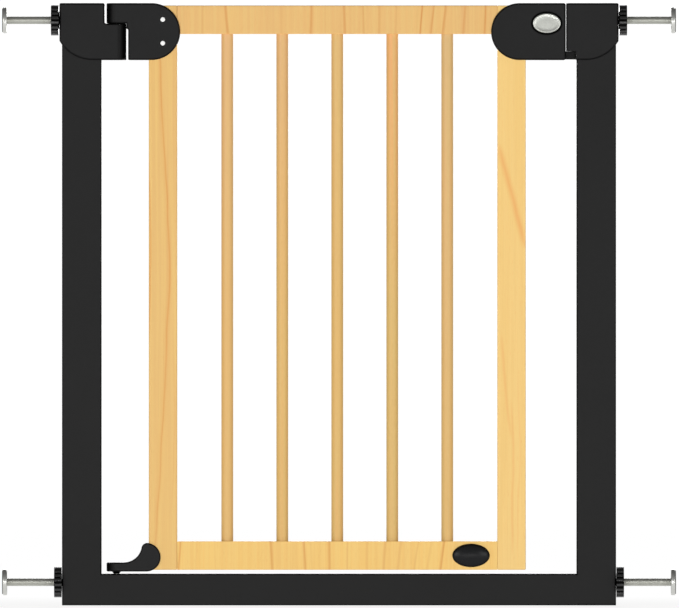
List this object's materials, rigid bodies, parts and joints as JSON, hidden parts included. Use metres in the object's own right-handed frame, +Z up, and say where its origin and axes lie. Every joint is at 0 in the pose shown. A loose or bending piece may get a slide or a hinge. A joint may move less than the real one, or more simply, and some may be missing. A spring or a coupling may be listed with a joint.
{
  "type": "safety baby gate",
  "caption": "Pressure-mounted safety gate: black steel U-frame, light wood barred panel that swings both ways, push-button latch and screw spindles that clamp it in a doorway.",
  "frame": {"origin": "on the floor, in the middle of the gate's width and depth", "axes": "+X along the opening towards the latch, -Y towards the front face with the button, +Z up"},
  "size_m": [0.8526, 0.038, 0.762],
  "materials": {
    "steel_black": "smooth satin black powder coat",
    "plastic_black": "satin moulded black plastic",
    "gloss_black": "glossy black, domed",
    "silver_button": "satin silver metallised plastic",
    "zinc_steel": "bright zinc plated steel",
    "white_nylon": "natural white nylon",
    "grey_rubber": "matt grey rubber",
    "wood": "clear lacquered light hardwood"
  },
  "bodies": {
    "frame": {"left_post": "steel_black", "right_post": "steel_black", "base_bar": "steel_black", "post_foot_plugs": "plastic_black", "pivot_bush": "plastic_black", "spindle_bushes": "plastic_black", "hinge_bracket_front": "plastic_black", "hinge_bracket_rear": "plastic_black", "receiver_front": "plastic_black", "receiver_rear": "plastic_black", "keeper_plate": "zinc_steel", "hinge_pin": "zinc_steel", "bracket_screws": "zinc_steel"},
    "gate": {"left_stile": "wood", "right_stile": "wood", "top_rail": "wood", "bottom_rail": "wood", "slat_1": "wood", "slat_2": "wood", "slat_3": "wood", "slat_4": "wood", "slat_5": "wood", "rail_dowels": "wood", "hinge_cap_front": "plastic_black", "hinge_cap_rear": "plastic_black", "cap_rivets": "white_nylon", "foot_arm": "plastic_black", "foot_arm_screws": "zinc_steel", "pivot_pin": "zinc_steel", "handle_front": "plastic_black", "handle_rear": "plastic_black", "handle_screws": "zinc_steel", "front_bumper": "gloss_black", "rear_bumper": "gloss_black", "button_spring": "zinc_steel", "bolt_spring": "zinc_steel"},
    "release_button": {"release_button": "silver_button"},
    "latch_bolt": {"latch_bolt": "plastic_black"},
    "nut_top_left": {"hand_nut_top_left": "plastic_black"},
    "spindle_top_left": {"spindle_top_left": "zinc_steel", "wall_disc_top_left": "zinc_steel", "wall_pad_top_left": "grey_rubber"},
    "nut_top_right": {"hand_nut_top_right": "plastic_black"},
    "spindle_top_right": {"spindle_top_right": "zinc_steel", "wall_disc_top_right": "zinc_steel", "wall_pad_top_right": "grey_rubber"},
    "nut_low_left": {"hand_nut_low_left": "plastic_black"},
    "spindle_low_left": {"spindle_low_left": "zinc_steel", "wall_disc_low_left": "zinc_steel", "wall_pad_low_left": "grey_rubber"},
    "nut_low_right": {"hand_nut_low_right": "plastic_black"},
    "spindle_low_right": {"spindle_low_right": "zinc_steel", "wall_disc_low_right": "zinc_steel", "wall_pad_low_right": "grey_rubber"}
  },
  "joints": [
    {"name": "gate_swing", "type": "hinge", "parent": "frame", "child": "gate", "pos_m": [-0.2817, 0, 0], "axis": [0, 0, 1], "range_deg": [-90, 90]},
    {"name": "button_press", "type": "slide", "parent": "gate", "child": "release_button", "axis": [0, 1, 0], "range_m": [0, 0.005], "stiffness_N_per_m": 500, "springref_m": -0.004, "deforming": ["button_spring"]},
    {"name": "bolt_slide", "type": "slide", "parent": "gate", "child": "latch_bolt", "axis": [-1, 0, 0], "range_m": [0, 0.0076], "stiffness_N_per_m": 300, "springref_m": -0.006, "deforming": ["bolt_spring"]},
    {"name": "nut_turn_top_left", "type": "hinge", "parent": "frame", "child": "nut_top_left", "pos_m": [-0.36, 0, 0.7403], "axis": [-1, 0, 0], "range_deg": [0, 8640]},
    {"name": "spindle_slide_top_left", "type": "slide", "parent": "frame", "child": "spindle_top_left", "axis": [1, 0, 0], "range_m": [0, 0.036]},
    {"name": "nut_turn_top_right", "type": "hinge", "parent": "frame", "child": "nut_top_right", "pos_m": [0.36, 0, 0.7403], "axis": [1, 0, 0], "range_deg": [0, 8640]},
    {"name": "spindle_slide_top_right", "type": "slide", "parent": "frame", "child": "spindle_top_right", "axis": [-1, 0, 0], "range_m": [0, 0.036]},
    {"name": "nut_turn_low_left", "type": "hinge", "parent": "frame", "child": "nut_low_left", "pos_m": [-0.36, 0, 0.0292], "axis": [-1, 0, 0], "range_deg": [0, 8640]},
    {"name": "spindle_slide_low_left", "type": "slide", "parent": "frame", "child": "spindle_low_left", "axis": [1, 0, 0], "range_m": [0, 0.036]},
    {"name": "nut_turn_low_right", "type": "hinge", "parent": "frame", "child": "nut_low_right", "pos_m": [0.36, 0, 0.0292], "axis": [1, 0, 0], "range_deg": [0, 8640]},
    {"name": "spindle_slide_low_right", "type": "slide", "parent": "frame", "child": "spindle_low_right", "axis": [-1, 0, 0], "range_m": [0, 0.036]}
  ],
  "couplings": [
    {"joint": "bolt_slide", "follows": "button_press", "ratio": 1.5},
    {"joint": "nut_turn_top_left", "follows": "spindle_slide_top_left", "rad_per_m": 4188.8},
    {"joint": "nut_turn_top_right", "follows": "spindle_slide_top_right", "rad_per_m": 4188.8},
    {"joint": "nut_turn_low_left", "follows": "spindle_slide_low_left", "rad_per_m": 4188.8},
    {"joint": "nut_turn_low_right", "follows": "spindle_slide_low_right", "rad_per_m": 4188.8}
  ]
}
